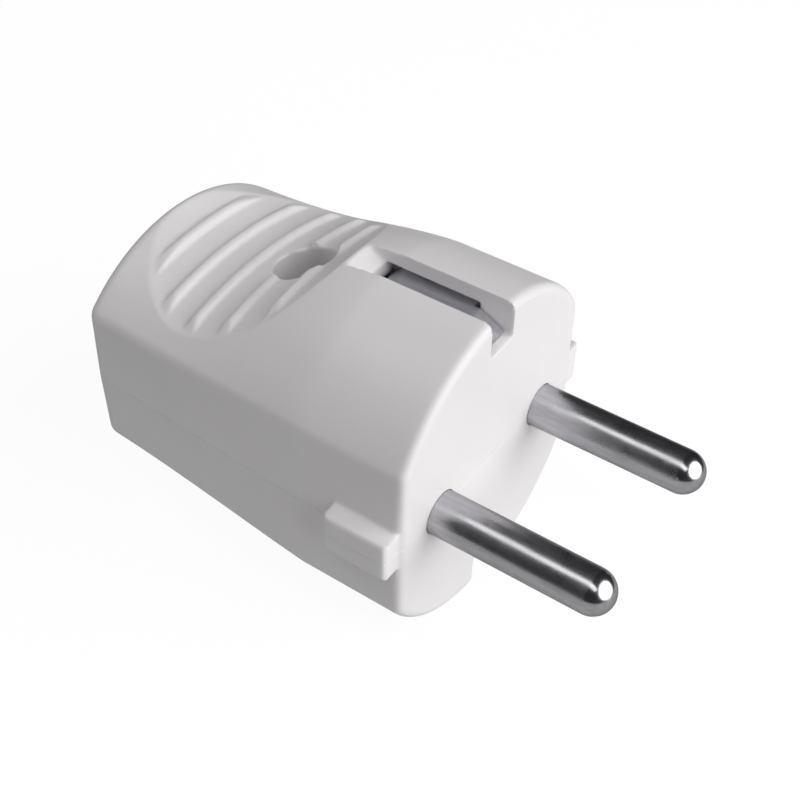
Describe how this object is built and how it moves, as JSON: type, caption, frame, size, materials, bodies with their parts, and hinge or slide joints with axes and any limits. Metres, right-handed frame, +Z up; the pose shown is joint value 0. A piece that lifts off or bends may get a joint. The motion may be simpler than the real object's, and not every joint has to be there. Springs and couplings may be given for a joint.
{
  "type": "electrical plug",
  "caption": "Rewireable mains plug with round pins and side earth contacts: a white split shell with flats, guide rails, ribbed finger grips and a rear cable entry.",
  "frame": {"origin": "middle of the mating face, halfway between the pins, on the plane where the shells part", "axes": "+X out of the mating face along the pins, +Y from the near pin to the far pin, +Z up towards the shell that takes the housing screw's head"},
  "size_m": [0.061, 0.037, 0.0372],
  "materials": {
    "shell": "white moulded, satin",
    "pin": "nickel plated, polished",
    "earth": "nickel plated strip",
    "screw": "zinc plated",
    "clamp": "white moulded"
  },
  "bodies": {
    "root": {"upper_shell": "shell", "lower_shell": "shell", "near_pin": "pin", "far_pin": "pin", "near_terminal_screw": "screw", "far_terminal_screw": "screw", "earth_bow": "earth", "earth_clamp_washer": "screw", "earth_screw": "screw", "cable_clamp_bar": "clamp", "near_clamp_screw": "screw", "far_clamp_screw": "screw", "housing_screw": "screw", "housing_nut": "screw"}
  },
  "joints": []
}
